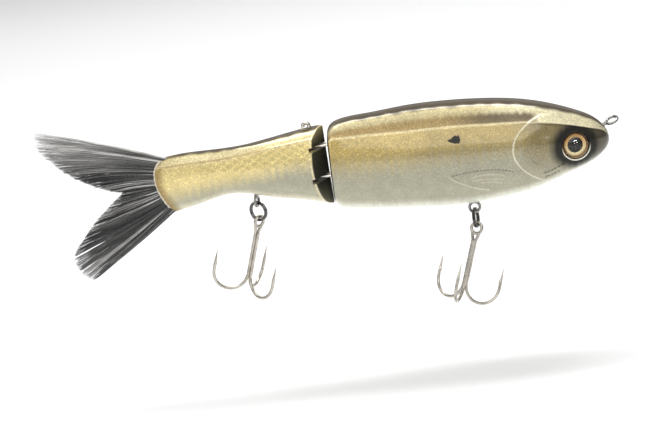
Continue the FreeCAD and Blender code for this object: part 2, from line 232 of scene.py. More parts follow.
def noise(nodes, links, scale, detail=3.0, stretch=(1, 1, 1)):
    """Noise in object space, in features per metre."""
    place, mapping = nodes.new("ShaderNodeTexCoord"), nodes.new("ShaderNodeMapping")
    mapping.inputs["Scale"].default_value = stretch
    tex = nodes.new("ShaderNodeTexNoise")
    tex.inputs["Scale"].default_value = scale
    tex.inputs["Detail"].default_value = detail
    links.new(place.outputs["Object"], mapping.inputs["Vector"])
    links.new(mapping.outputs[0], tex.inputs["Vector"])
    return tex.outputs["Fac"]


def remap(nodes, links, value, low, high, to_low, to_high):
    node = nodes.new("ShaderNodeMapRange")
    for name, number in zip(("From Min", "From Max", "To Min", "To Max"), (low, high, to_low, to_high)):
        node.inputs[name].default_value = number
    links.new(value, node.inputs["Value"])
    return node.outputs["Result"]


def bump(nodes, links, shader, height, strength, distance):
    node = nodes.new("ShaderNodeBump")
    node.inputs["Strength"].default_value = strength
    node.inputs["Distance"].default_value = distance
    links.new(height, node.inputs["Height"])
    links.new(node.outputs[0], shader.inputs["Normal"])
    return node


def attribute(nodes, name):
    node = nodes.new("ShaderNodeAttribute")
    node.attribute_name = name
    return node


def scaled(nodes, links, colour, factor):
    """A colour socket times a number socket."""
    node = nodes.new("ShaderNodeVectorMath")
    node.operation = "SCALE"
    links.new(colour, node.inputs[0])
    links.new(factor, node.inputs["Scale"])
    return node.outputs[0]


FLAKE_PER_METRE = 2600
SPARKLE_SHARE, SPARKLE_GAIN = 0.20, 0.55     # the share of flakes given a painted glint, and how much brighter the glint paints them
GRAIN_RANGE, CLOUD = (-0.20, 0.16), 0.07     # how far flakes and soft patches vary the paint
SCALE_PITCH, SCALE_SLANT = 0.0054, 1.75
SCALE_EDGE, SCALE_MIDDLE = 0.17, -0.08       # shade along the scales' edges and in their middles
METAL_SHARE = 0.55


def paint_material():
    """Airbrushed pearl paint with metal flake and a faint scale mesh, under a gloss clear coat."""
    mat, nodes, links, shader = material("pearl_paint")
    place = nodes.new("ShaderNodeTexCoord").outputs["Object"]
    flake = nodes.new("ShaderNodeTexVoronoi")
    flake.inputs["Scale"].default_value = FLAKE_PER_METRE
    links.new(place, flake.inputs["Vector"])
    split = nodes.new("ShaderNodeSeparateColor")
    links.new(flake.outputs["Color"], split.inputs[0])
    # painted glint: a share of flakes painted brighter in the colour
    painted_glint = remap(nodes, links, split.outputs[0], 1 - SPARKLE_SHARE, 1.0, 0.0, 1.0)
    masks = nodes.new("ShaderNodeSeparateColor")
    links.new(attribute(nodes, "masks").outputs["Color"], masks.inputs[0])
    flake_mask, scale_mask, metal_mask = masks.outputs[0], masks.outputs[1], masks.outputs[2]
    grain = remap(nodes, links, split.outputs[1], 0.0, 1.0, *GRAIN_RANGE)
    grain = maths(nodes, links, "ADD", grain, maths(nodes, links, "MULTIPLY", painted_glint, SPARKLE_GAIN))
    grain = maths(nodes, links, "MULTIPLY", grain, flake_mask)

    axes = nodes.new("ShaderNodeSeparateXYZ")
    links.new(place, axes.inputs[0])
    waves = []
    for sign in (1, -1):
        slant = maths(nodes, links, "MULTIPLY_ADD", axes.outputs[2], SCALE_SLANT * sign, axes.outputs[0])
        wave = maths(nodes, links, "SINE", maths(nodes, links, "MULTIPLY", slant, math.pi / SCALE_PITCH))
        waves.append(maths(nodes, links, "ABSOLUTE", wave))
    net = maths(nodes, links, "MULTIPLY", waves[0], waves[1])
    net = remap(nodes, links, net, 0.0, 0.5, SCALE_EDGE, SCALE_MIDDLE)
    net = maths(nodes, links, "MULTIPLY", net, scale_mask)

    cloud = remap(nodes, links, noise(nodes, links, 160), 0.3, 0.7, -CLOUD, CLOUD)
    shade = maths(nodes, links, "ADD", maths(nodes, links, "ADD", grain, net), cloud)
    shade = maths(nodes, links, "ADD", shade, 1.0)
    paint = attribute(nodes, "paint").outputs["Color"]
    links.new(scaled(nodes, links, paint, shade), shader.inputs["Base Color"])
    links.new(maths(nodes, links, "MULTIPLY", metal_mask, METAL_SHARE), shader.inputs["Metallic"])
    rough = remap(nodes, links, split.outputs[2], 0.0, 1.0, 0.30, 0.46)
    dull = remap(nodes, links, metal_mask, 0.0, 0.25, 0.30, 0.0)
    links.new(maths(nodes, links, "ADD", rough, dull), shader.inputs["Roughness"])
    links.new(remap(nodes, links, metal_mask, 0.0, 0.25, 0.25, 0.85), shader.inputs["Coat Weight"])
    shader.inputs["Specular IOR Level"].default_value = 0.2
    shader.inputs["Coat Roughness"].default_value = 0.07
    shader.inputs["Coat IOR"].default_value = 1.5
    height = maths(nodes, links, "MULTIPLY_ADD", split.outputs[1], 0.5, noise(nodes, links, 420, 2.0))
    bump(nodes, links, shader, height, 0.10, 0.0003)
    return mat


def metal_material(name, colour, rough, wear):
    """Drawn or plated wire: a fine grain in the roughness, and darker patches."""
    mat, nodes, links, shader = material(name)
    shader.inputs["Metallic"].default_value = 1.0
    patches = noise(nodes, links, 260, 4.0)
    fine = noise(nodes, links, 1400, 2.0)
    ramp = nodes.new("ShaderNodeValToRGB")
    ramp.color_ramp.elements[0].position, ramp.color_ramp.elements[1].position = 0.32, 0.62
    ramp.color_ramp.elements[0].color = (*[c * (1 - wear) for c in colour], 1)
    ramp.color_ramp.elements[1].color = (*colour, 1)
    links.new(patches, ramp.inputs[0])
    links.new(ramp.outputs[0], shader.inputs["Base Color"])
    links.new(remap(nodes, links, fine, 0.3, 0.7, rough * 0.75, rough * 1.35), shader.inputs["Roughness"])
    bump(nodes, links, shader, fine, 0.12, 0.0001)
    return mat


def iris_material():
    """Printed foil: the colour comes from the mesh, with fine rays that catch the light."""
    mat, nodes, links, shader = material("eye_foil")
    paint = attribute(nodes, "paint").outputs["Color"]
    rays = remap(nodes, links, attribute(nodes, "rays").outputs["Fac"], 0.0, 1.0, 0.72, 1.25)
    links.new(scaled(nodes, links, paint, rays), shader.inputs["Base Color"])
    shader.inputs["Metallic"].default_value = 0.75
    shader.inputs["Specular IOR Level"].default_value = 0.05
    fine = noise(nodes, links, 2500)
    links.new(remap(nodes, links, fine, 0.3, 0.7, 0.22, 0.40), shader.inputs["Roughness"])
    return mat


def dome_material():
    """A clear polished dome: see-through, with the sky's and lamps' reflection on it."""
    mat, nodes, links, shader = material("clear_dome")
    nodes.remove(shader)
    clear, gloss = nodes.new("ShaderNodeBsdfTransparent"), nodes.new("ShaderNodeBsdfGlossy")
    gloss.inputs["Roughness"].default_value = 0.015
    edge, mix = nodes.new("ShaderNodeFresnel"), nodes.new("ShaderNodeMixShader")
    edge.inputs["IOR"].default_value = 1.42
    clear.inputs[0].default_value = (0.97, 0.96, 0.93, 1)
    links.new(edge.outputs[0], mix.inputs[0])
    links.new(clear.outputs[0], mix.inputs[1])
    links.new(gloss.outputs[0], mix.inputs[2])
    links.new(mix.outputs[0], nodes["Material Output"].inputs["Surface"])
    return mat


def fibre_material():
    """Springy dark fibres: each has its own shade, pale where it thins at the tip, with a silver sheen."""
    mat, nodes, links, shader = material("tail_fibre")
    streak = remap(nodes, links, noise(nodes, links, 300, 3.0, (0.15, 1, 1)), 0.35, 0.65, 0.75, 1.3)
    paint = attribute(nodes, "paint").outputs["Color"]
    links.new(scaled(nodes, links, paint, streak), shader.inputs["Base Color"])
    links.new(remap(nodes, links, noise(nodes, links, 900), 0.3, 0.7, 0.24, 0.42), shader.inputs["Roughness"])
    shader.inputs["Specular IOR Level"].default_value = 0.75
    shader.inputs["Sheen Weight"].default_value = 0.15
    return mat


def resin_material(name, dark, pale):
    """Hardened glue, amber-grey and uneven."""
    mat, nodes, links, shader = material(name)
    ramp = nodes.new("ShaderNodeValToRGB")
    ramp.color_ramp.elements[0].color = (*dark, 1)
    ramp.color_ramp.elements[1].color = (*pale, 1)
    links.new(noise(nodes, links, 900), ramp.inputs[0])
    links.new(ramp.outputs[0], shader.inputs["Base Color"])
    links.new(remap(nodes, links, noise(nodes, links, 500), 0.3, 0.7, 0.15, 0.4), shader.inputs["Roughness"])
    shader.inputs["Coat Weight"].default_value = 0.6
    bump(nodes, links, shader, noise(nodes, links, 1200), 0.3, 0.0004)
    return mat


def lead_material():
    """Dull cast ballast."""
    mat, nodes, links, shader = material("ballast_metal")
    ramp = nodes.new("ShaderNodeValToRGB")
    ramp.color_ramp.elements[0].color = (0.16, 0.16, 0.17, 1)
    ramp.color_ramp.elements[1].color = (0.34, 0.34, 0.36, 1)
    links.new(noise(nodes, links, 500), ramp.inputs[0])
    links.new(ramp.outputs[0], shader.inputs["Base Color"])
    shader.inputs["Metallic"].default_value = 0.8
    links.new(remap(nodes, links, noise(nodes, links, 900), 0.3, 0.7, 0.45, 0.7), shader.inputs["Roughness"])
    bump(nodes, links, shader, noise(nodes, links, 1500), 0.3, 0.0003)
    return mat


# ---------------------------------------------------------------- paint, worked out point by point
PEARL_BELLY = (0.76, 0.76, 0.64)
CREAM_BELLY = (0.66, 0.62, 0.46)
SILVER_FLANK = (0.345, 0.33, 0.24)
GOLD_FLANK = (0.50, 0.375, 0.13)
GOLD_REAR = (0.74, 0.60, 0.26)
BROWN_BAND = (0.36, 0.25, 0.095)
BROWN_HEAD = (0.13, 0.095, 0.05)
CHAMPAGNE = (0.70, 0.60, 0.33)
CHAMPAGNE_HEAD = (0.72, 0.655, 0.42)
CREASE_HIGHLIGHT = (0.78, 0.66, 0.38)
RIDGE_HIGHLIGHT = (0.74, 0.69, 0.52)
DORSAL = (0.046, 0.031, 0.017)
CHEEK = (0.23, 0.185, 0.085)
NOSE = (0.070, 0.060, 0.038)
BLACK = (0.006, 0.006, 0.005)
TAIL_END_SHADE = (0.30, 0.20, 0.06)
# The wedge faces: dark paint deepened by painted shade between the sections, lighter towards the top and the
# foot
JOINT_TOP, JOINT_PAINT_AND_SHADE, JOINT_FOOT = (0.26, 0.22, 0.11), (0.022, 0.021, 0.015), (0.13, 0.125, 0.08)
RIM_HIGHLIGHT = (0.80, 0.78, 0.66)
FOIL_BRONZE_SHADED, FOIL_BRONZE_LIT = (0.22, 0.10, 0.025), (0.55, 0.30, 0.07)
FOIL_GOLD_SHADED, FOIL_GOLD_LIT = (0.72, 0.42, 0.16), (1.0, 0.84, 0.52)

# Stretches along the body, in x, over which one tone gives way to the next
GOLD_SINKS, GOLD_RISES, GOLD_DARKENS = (-60, -120), (-172, -135), (-98, -74)
HEAD_BEGINS, CHAMPAGNE_PALES = (-46, -32), (-62, -40)
BAND_DARKENS, BAND_ENDS, REAR_BAND_BEGINS = (-80, -52), (-35.5, -32.0), (-168, -130)
CREASE_HIGHLIGHT_ENDS, REAR_LINE_BEGINS = (-35, -32), (-201, -196)
FRONT_SCALES, REAR_SCALES = (-75, -110), (-185, -165)
NOSE_BEGINS, WEDGE_BEGINS = (-10.5, -5.0), (-150, -140)
HALO = (8.0, 13.2)                        # distances from the eye over which its dark halo fades out
EYE_CENTRE = (-17.5, -6.5)
SPOT = [(-72.6, 3.6), (-70.8, 4.2), (-68.9, 5.5), (-68.1, 4.9), (-67.4, 5.5), (-66.7, 3.4), (-67.3, 1.9),
        (-69.5, 2.0), (-71.4, 2.8)]


def wobble(x, seed):
    """A slow random wave of x, between about -1 and 1."""
    draw = random.Random(seed)
    waves = [draw.uniform(0.5, 1) * np.sin(x * draw.uniform(0.15, 2.6) + draw.uniform(0, 6))
             for _ in range(7)]
    return sum(waves) / 2.6


def inside(x, z, outline):
    """Whether each point lies in a closed outline."""
    found = np.zeros(x.shape, bool)
    for (ax, az), (bx, bz) in zip(outline, outline[1:] + outline[:1]):
        if az != bz:
            found ^= ((az > z) != (bz > z)) & (x < (bx - ax) * (z - az) / (bz - az) + ax)
    return found


def mix(under, over, amount):
    return np.asarray(under) * (1 - amount[:, None]) + np.asarray(over) * amount[:, None]


def profile_at(x, stations):
    """Heights of the top, bottom and crease at each x."""
    dense = spline(stations, 600)
    order = np.argsort(dense[:, 0])
    return [np.interp(x, dense[order, 0], dense[order, column]) for column in (1, 2, 4)]


def flank_paint(x, flank, edge, head, rear):
    """Pale belly, silver flank and gold shoulder, and the dull cheek of the head, below the crease."""
    silver = np.array(SILVER_FLANK) * (1.16 - 0.16 * smooth_step(0.12, 0.45, flank))[:, None]
    colour = mix(CREAM_BELLY if rear else PEARL_BELLY, silver, smooth_step(0.03, 0.19, flank + 0.15 * edge))
    low, high = 0.50 - 0.10 * smooth_step(*GOLD_SINKS, x), 0.88
    if rear:
        toward_joint = smooth_step(*GOLD_RISES, x)
        low, high = 0.10 + 0.34 * toward_joint, 0.66 + 0.18 * toward_joint
    gold = np.array(GOLD_REAR if rear else GOLD_FLANK) * (1 - 0.28 * smooth_step(*GOLD_DARKENS, x))[:, None]
    colour = mix(colour, gold, smooth_step(low, high, flank + edge))
    return mix(colour, CHEEK, 0.9 * head * smooth_step(0.10, 0.70, flank))


def shoulder_paint(colour, x, back, level, edge, head, rear):
    """Champagne above the crease, with the brown band along it and a painted highlight on it."""
    champagne = mix(np.array(CHAMPAGNE) * 0.82, CHAMPAGNE_HEAD, smooth_step(*CHAMPAGNE_PALES, x))
    colour = mix(colour, CHAMPAGNE if rear else champagne, smooth_step(-0.03, 0.03, back))
    brown = mix(BROWN_BAND, BROWN_HEAD, smooth_step(*BAND_DARKENS, x))
    fade = 0.85 * smooth_step(*REAR_BAND_BEGINS, x) if rear else 1 - smooth_step(*BAND_ENDS, x)
    width = 0.46 if rear else 0.60
    band = smooth_step(0.02, 0.06, back) * (1 - smooth_step(width * 0.55, width, back + edge))
    colour = mix(colour, brown, 0.92 * band * fade)
    if rear:
        thin = np.exp(-((level - 0.30) / 0.34) ** 2)
        colour = mix(colour, BROWN_BAND, 0.8 * thin * smooth_step(*REAR_LINE_BEGINS, x))
    # painted highlight: a pale line where the crease catches the light
    pale = np.exp(-((level + (0.55 if rear else 0.0)) / 0.42) ** 2) * (1 - smooth_step(*CREASE_HIGHLIGHT_ENDS, x))
    colour = mix(colour, CREASE_HIGHLIGHT, (0.55 if rear else 0.75) * pale)
    return mix(colour, BROWN_HEAD, 0.85 * head * np.exp(-((level + 0.5) / 0.4) ** 2))


def body_paint(points, stations, rear):
    """Colour and the flake, scale and metal masks of each point of a body section."""
    x, z = points[:, 0], points[:, 2]
    top, bottom, crease = profile_at(x, stations)
    flank = (z - bottom) / np.maximum(crease - bottom, 1)
    back = (z - crease) / np.maximum(top - crease, 0.5)
    edge = 0.04 * wobble(x, 3)
    above = smooth_step(-0.03, 0.03, back)
    head = 0 * x if rear else smooth_step(*HEAD_BEGINS, x)
    colour = flank_paint(x, flank, edge, head, rear)
    colour = shoulder_paint(colour, x, back, z - crease, edge, head, rear)
    stripe = smooth_step(0.70, 0.92, back + 0.030 * wobble(x * 0.4, 5) + 0.06 * head)
    colour = mix(colour, DORSAL, 0.97 * stripe)
    if rear:
        # painted shade along the rounded tail end, weaker above the crease
        tip = 1 - smooth_step(0.8, 5.0, end_depth(x, z))
        colour, dark = mix(colour, TAIL_END_SHADE, 0.9 * tip * (1 - 0.7 * above)), stripe
    else:
        colour, dark = head_paint(x, z, above, colour, stripe)
    upper = smooth_step(0.30, 0.80, flank)
    flake = np.clip(0.45 + 0.55 * upper, 0, 1) * (1 - 0.7 * dark)
    zone = smooth_step(*REAR_SCALES, x) if rear else 0.5 * smooth_step(*FRONT_SCALES, x)
    net = smooth_step(0.52, 0.74, flank) * (1 - smooth_step(0.0, 0.12, back)) * zone
    metal = (1 - dark) * (0.25 + 0.55 * upper)
    return colour, np.stack([flake, net, metal], axis=1)


def near_line(x, z, line, width):
    """A soft mask, 1 on a line and gone about two widths away."""
    return np.exp(-(away_from(x, z, line)[0] / width) ** 2)


def head_paint(x, z, above, colour, dark):
    """The airbrushed halo, nose and shoulder spot, with painted highlights on the moulded ridges and painted
    shade in the grooves.
    """
    reach = np.hypot(x - EYE_CENTRE[0], (z - EYE_CENTRE[1]) * 1.02)
    colour = mix(colour, NOSE, 0.95 * smooth_step(*NOSE_BEGINS, x) * (1 - 0.75 * above))
    halo = (1 - smooth_step(*HALO, reach + 0.35 * wobble(x, 8))) * (1 - above)
    colour = mix(colour, BLACK, 0.97 * halo)
    spot = inside(x, z, SPOT).astype(float)
    colour = mix(colour, BLACK, 0.96 * spot)
    near = (x > MOULDED[0]) & (x < MOULDED[1])
    nx, nz = x[near], z[near]
    # painted highlights: pale lines along the gill ridge, the fin's lower lip and the fin rays
    ridge_highlight = np.maximum(0.85 * near_line(nx, nz, GILL, 0.34), 0.70 * near_line(nx, nz, FIN_LOWER, 0.32))
    for line in FIN_RAYS:
        ridge_highlight = np.maximum(ridge_highlight, 0.42 * near_line(nx, nz, line, 0.28))
    dashes = smooth_step(-0.6, 0.1, np.sin(nx * 4.1) + 0.5 * np.sin(nx * 9.7))
    # painted shade: broken dark lines in the mouth grooves and under the fin's upper edge
    groove_shade = np.zeros(len(nx))
    for line in (MOUTH[0], MOUTH[1], FIN_UPPER):
        groove_shade = np.maximum(groove_shade, dashes * near_line(nx, nz, line, 0.27))
    part = mix(colour[near], RIDGE_HIGHLIGHT, ridge_highlight)
    colour[near] = mix(part, BLACK, 0.85 * groove_shade)
    return colour, np.clip(dark + spot + halo, 0, 1)


def store(obj, name, colours):
    """Keeps a colour for each vertex on the mesh."""
    layer = obj.data.attributes.new(name, "FLOAT_COLOR", "POINT")
    data = np.ones((len(obj.data.vertices), 4), np.float32)
    data[:, :3] = np.clip(colours, 0, 4)
    layer.data.foreach_set("color", data.ravel())


def vertex_points(obj):
    """An object's vertices in millimetres."""
    co = np.zeros(len(obj.data.vertices) * 3)
    obj.data.vertices.foreach_get("co", co)
    return co.reshape(-1, 3) / MM


# ---------------------------------------------------------------- the two body sections
ROWS = 250
CREASE_SOFTNESS = 1.6       # rows over which the shoulder crease is rounded


def section_rows():
    """For each row from the back's middle to the belly's: share of the half width, and how the heights of the
    top, crease, widest point and belly are weighted."""
    back = spline([(0, 1), (0.36, 0.90), (0.64, 0.60), (0.82, 0.27), (1, 0)], 300)
    low = [(math.cos(math.radians(a)) ** 0.82, -math.sin(math.radians(a)) ** 1.1) for a in (22, 45, 68)]
    flank = spline([(CREASE_WIDTH, 1), (0.93, 0.52), (1, 0), *low, (0.0, -1)], 700)
    rows = [(CREASE_WIDTH * y, z, 1 - z, 0, 0) for y, z in back[:-1]]
    rows += [(y, 0, max(z, 0), 1 - abs(z), max(-z, 0)) for y, z in flank]
    rows = np.array(rows)
    size = rows[:, 1:] @ np.array([18.6, 10.6, -4.2, -29.2])
    run = np.concatenate([[0], np.cumsum(np.hypot(np.diff(rows[:, 0] * 15.8), np.diff(size)))])
    even = np.linspace(0, run[-1], ROWS)
    rows = np.stack([np.interp(even, run, rows[:, c]) for c in range(5)], axis=1)
    reach = int(4 * CREASE_SOFTNESS)
    weights = np.exp(-0.5 * (np.arange(-reach, reach + 1) / CREASE_SOFTNESS) ** 2)
    weights /= weights.sum()
    soft = rows.copy()
    for i in range(reach, ROWS - reach):
        soft[i] = weights @ rows[i - reach:i + reach + 1]
    return soft


def hull_grid(stations, at):
    """The right half of a section's skin: an array of stations by rows by (x, y, z)."""
    rows = section_rows()
    x, top, bottom, half, crease = spline(stations, at=at).T
    widest = bottom + WIDEST_HEIGHT * (top - bottom)
    heights = np.stack([top, crease, widest, bottom], axis=1) @ rows[:, 1:].T
    widths = half[:, None] * rows[None, :, 0]
    widths[:, [0, -1]] = 0
    return np.stack([np.broadcast_to(x[:, None], heights.shape), -widths, heights], axis=2)


def even_places(stations, spacing):
    """Places along a section's stations whose spacing follows a function of x."""
    dense = np.linspace(0, 1, 2000)
    points = spline(stations, at=dense)[:, :4]
    steps = np.linalg.norm(np.diff(points, axis=0), axis=1) / spacing(points[1:, 0])
    run = np.concatenate([[0], np.cumsum(steps)])
    return np.interp(np.linspace(0, run[-1], int(run[-1])), run, dense)


MOULDED = (-76, -18)                      # the stretch of x that has moulded details
GILL = [(-31.2, 8.2), (-36.2, 6.7), (-40.4, 4.0), (-43.1, 1.0), (-44.6, -2.6), (-44.8, -6.2), (-43.6, -10.0),
        (-41.2, -13.6), (-37.6, -17.0), (-33.3, -20.1)]
FIN = [(-73.3, -12.5), (-65.8, -11.6), (-61.0, -11.3), (-55.2, -11.6), (-49.3, -12.5), (-45.3, -14.2),
       (-47.6, -18.6), (-52.5, -21.2), (-56.3, -21.2), (-60.0, -20.0), (-64.9, -17.9), (-69.1, -15.6)]
FIN_UPPER = [(-72.6, -12.4), (-64.7, -11.5), (-55.1, -11.5), (-50.8, -12.2), (-45.8, -13.9)]
FIN_LOWER = [(-73.3, -12.6), (-70.4, -15.0), (-66.2, -17.4), (-62.0, -19.5), (-56.9, -21.1)]
FIN_RAYS = [[(-63.8, -14.3), (-58.4, -13.6), (-49.5, -14.8)],
            [(-63.4, -15.6), (-56.2, -15.8), (-50.1, -16.8)],
            [(-59.4, -17.3), (-55.0, -17.4), (-50.9, -18.6)]]
MOUTH = [[(-32.4, -16.5), (-28.0, -15.6), (-23.2, -13.8)],
         [(-31.6, -19.0), (-29.0, -18.3), (-25.6, -17.2)],
         [(-31.6, -19.0), (-30.6, -18.0)]]
CHEEK_LINE = [(-37.3, -8.0), (-36.2, -10.2), (-34.3, -12.0)]


def away_from(x, z, line):
    """Distance of each point from a smooth line, and on which side of it the point lies."""
    path = spline(line, 90) if len(line) > 2 else np.array(line, float)
    best, side = np.full(x.shape, 1e9), np.ones(x.shape)
    for a, b in zip(path[:-1], path[1:]):
        step = b - a
        t = np.clip(((x - a[0]) * step[0] + (z - a[1]) * step[1]) / (step @ step), 0, 1)
        dx, dz = x - a[0] - t * step[0], z - a[1] - t * step[1]
        gap = np.hypot(dx, dz)
        nearer = gap < best
        best[nearer] = gap[nearer]
        side[nearer] = np.sign(step[0] * dz - step[1] * dx)[nearer]
    return best, side


def relief(x, z):
    """How far the moulded gill cover, side fin, mouth and cheek line stand out of the front section."""
    out = np.zeros(x.shape)
    near = (x > -48) & (x < MOULDED[1])
    nx, nz = x[near], z[near]
    gap, side = away_from(nx, nz, GILL)
    signed = gap * side
    plate = 0.34 * smooth_step(-0.30, 0.30, signed) * (1 - smooth_step(3.0, 9.0, signed))
    plate *= smooth_step(9.0, 7.0, nz) * smooth_step(-22.5, -19.5, nz)
    local = plate + 0.20 * np.exp(-(gap / 0.30) ** 2)
    for line in MOUTH:
        local -= 0.42 * near_line(nx, nz, line, 0.30)
    local -= 0.22 * near_line(nx, nz, CHEEK_LINE, 0.35)
    out[near] += local
    near = (x > MOULDED[0]) & (x < -43) & (z < -8) & (z > -25)
    out[near] += fin_relief(x[near], z[near])
    return out


def fin_relief(x, z):
    """The side fin: sunk along its edge, fading into the flank at its root, with raised rays."""
    outline = [tuple(p) for p in spline(FIN + FIN[:1], 160)]
    gap = away_from(x, z, FIN + FIN[:1])[0]
    signed = np.where(inside(x, z, outline), gap, -gap)
    toward_root = smooth_step(-58, -46, x) * smooth_step(-15, -20, z)
    depth = 0.55 * (1 - 0.8 * toward_root)
    out = -depth * smooth_step(-0.22, 0.22, signed) * (1 - 0.75 * smooth_step(0.5, 3.4, signed))
    for line in FIN_RAYS:
        out += 0.30 * near_line(x, z, line, 0.34)
    return out


def grid_normals(grid):
    along, round_ = np.gradient(grid, axis=0), np.gradient(grid, axis=1)
    normal = np.cross(round_, along)
    return normal / np.maximum(np.linalg.norm(normal, axis=2), 1e-9)[..., None]


def closed_half(name, grid, mat):
    """A half section as one closed mesh: the skin, a flat inner face and two end faces."""
    count, size = grid.shape[:2]
    faces = ring_faces(count, size)
    faces.append(list(range(size)))
    faces.append(list(range((count - 1) * size, count * size))[::-1])
    obj = new_object(name, grid.reshape(-1, 3), faces, mat)
    outward(obj)
    return obj


def mirrored(grid):
    return grid * np.array([1, -1, 1])


def block(x, y, z):
    """A box's points and faces from three (low, high) pairs."""
    points = [(a, b, c) for a in x for b in y for c in z]
    faces = [[0, 1, 3, 2], [4, 6, 7, 5], [0, 4, 5, 1], [2, 3, 7, 6], [0, 2, 6, 4], [1, 5, 7, 3]]
    return points, faces


EYE_TURN_DEG, EYE_AXIS_X, EYE_SEAT, EYE_RADIUS = 10.0, -19.3, 9.3, 6.1


def eye_frame(side):
    """The eye's back centre and outward axis, side -1 on the right."""
    a = math.radians(EYE_TURN_DEG)
    axis = Vector((math.sin(a), side * math.cos(a), 0))
    return Vector((EYE_AXIS_X, 0, EYE_CENTRE[1])) + axis * EYE_SEAT, axis


def finish_section(obj, stations, rear, body, *nodes):
    """Paints a half section and puts it in the frame."""
    points = vertex_points(obj)
    colour, masks = body_paint(points, stations, rear)
    if rear:
        colour, masks = joint_paint(points, colour, masks)
    else:
        # painted shade on the front section's rear face, where it faces the wedge
        rear_face_shade = 1 - smooth_step(-123.5, -123.2, points[:, 0])
        colour = mix(colour, JOINT_PAINT_AND_SHADE, 0.9 * rear_face_shade)
    store(obj, "paint", colour)
    store(obj, "masks", masks)
    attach(obj, body)
    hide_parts(*nodes)


def joint_paint(points, colour, masks):
    """The dark, unflaked faces of the wedge, partly their own dark paint and partly painted shade between the
    sections, with a painted highlight along the rounded rim.
    """
    x, z = points[:, 0], points[:, 2]
    face = wedge_depth(points)
    at_joint = smooth_step(*WEDGE_BEGINS, x)
    amount = (1 - smooth_step(0.05, 0.35, face)) * at_joint
    shade = mix(JOINT_FOOT, JOINT_PAINT_AND_SHADE, smooth_step(-20, -11, z))
    shade = mix(shade, JOINT_TOP, smooth_step(6.5, 14, z))
    # painted highlight along the wedge's rounded rim
    edge_highlight = smooth_step(0.25, 0.45, face) * (1 - smooth_step(0.7, 1.3, face)) * at_joint
    colour = mix(mix(colour, CREASE_HIGHLIGHT, 0.7 * edge_highlight), shade, 0.97 * amount)
    return colour, masks * (1 - 0.8 * amount)[:, None]


def front_spacing(x):
    """The rows lie closer where the front section has moulded details."""
    return np.where((x > MOULDED[0]) & (x < MOULDED[1]), 0.27, 0.45)


def front_sections(mat):
    """The right and left halves of the front section, with the moulded details and the eye sockets."""
    places = even_places(FRONT_STATIONS, front_spacing)
    grid = hull_grid(FRONT_STATIONS, places)
    grid += grid_normals(grid) * relief(grid[..., 0], grid[..., 2])[..., None] * fade_at_seam(grid)
    for side, name in RIGHT_AND_LEFT:
        half = closed_half(f"front_half_{name}", grid if side < 0 else mirrored(grid), mat)
        back, axis = eye_frame(side)
        profile = [(EYE_RADIUS + 0.05, -0.1), (EYE_RADIUS + 0.05, 1.6), (EYE_RADIUS + 0.9, 2.6), (8.2, 9.0)]
        socket = new_object("socket", *lathe(profile, back, axis, 96), mat)
        notch = new_object("notch", *tube([(-9, 0, -3.4), (4, 0, 1.6)], (1.3, 1.3), 24), mat)
        cut(half, socket, notch)
        finish_section(half, FRONT_STATIONS, False, "front_section", f"front_shell_{name}")


def fade_at_seam(grid):
    """Relief dies out before the middle seam, so that the two halves meet."""
    return smooth_step(0.0, 1.5, np.abs(grid[..., 1]))[..., None]


def wedge_depth(points):
    """How far each point lies behind the wedge's faces."""
    turn, lean = math.radians(WEDGE_DEG), math.radians(WEDGE_LEAN_DEG)
    normal = np.array([math.cos(turn) * math.cos(lean), math.sin(turn), math.cos(turn) * math.sin(lean)])
    near = points.copy()
    near[:, 0] -= WEDGE_APEX
    near[:, 1] = np.abs(near[:, 1])
    near[:, 2] -= WEDGE_LEVEL
    return -(near @ normal)


def trimmed(grid, depth, radius):
    """Cuts each row where depth falls to zero, and rounds the edge by about radius."""
    kept = []
    for row in range(grid.shape[1]):
        line, d = grid[:, row], depth[:, row]
        last = np.nonzero(d <= 0)[0]
        stop = last[0] if len(last) else len(d) - 1
        share = d[stop - 1] / max(d[stop - 1] - d[stop], 1e-9) if len(last) else 1.0
        end = line[stop - 1] + share * (line[stop] - line[stop - 1])
        path = np.vstack([line[:stop], end])
        run = np.concatenate([[0], np.cumsum(np.linalg.norm(np.diff(path, axis=0), axis=1))])
        places = np.concatenate([np.linspace(0, run[-1] - radius, grid.shape[0] - 6, endpoint=False),
                                 run[-1] - radius * np.linspace(1, 0, 6)])
        kept.append(np.stack([np.interp(places, run, path[:, c]) for c in range(3)], axis=1))
    return np.stack(kept, axis=1)


def rounded_end(grid, inward, radius, steps=5):
    """Turns the last edge of a grid into a small round one that runs on over the end face."""
    start, corner = grid[-6], grid[-1]
    finish = corner + inward * radius
    rings = [((1 - t) ** 2) * start + 2 * t * (1 - t) * corner + t * t * finish
             for t in np.linspace(0, 1, steps + 2)[1:]]
    return np.concatenate([grid[:-5], np.stack(rings)], axis=0)


def inward_on(ring, normal):
    """For each point of a ring that lies on a plane, the direction in the plane towards its inside."""
    along = np.gradient(ring, axis=0)
    inner = np.cross(along, normal)
    inner /= np.maximum(np.linalg.norm(inner, axis=1), 1e-9)[:, None]
    toward = (ring.mean(axis=0) - ring)
    inner *= np.sign((inner * toward).sum(axis=1).mean())
    inner[[0, -1], 1] = 0
    return inner


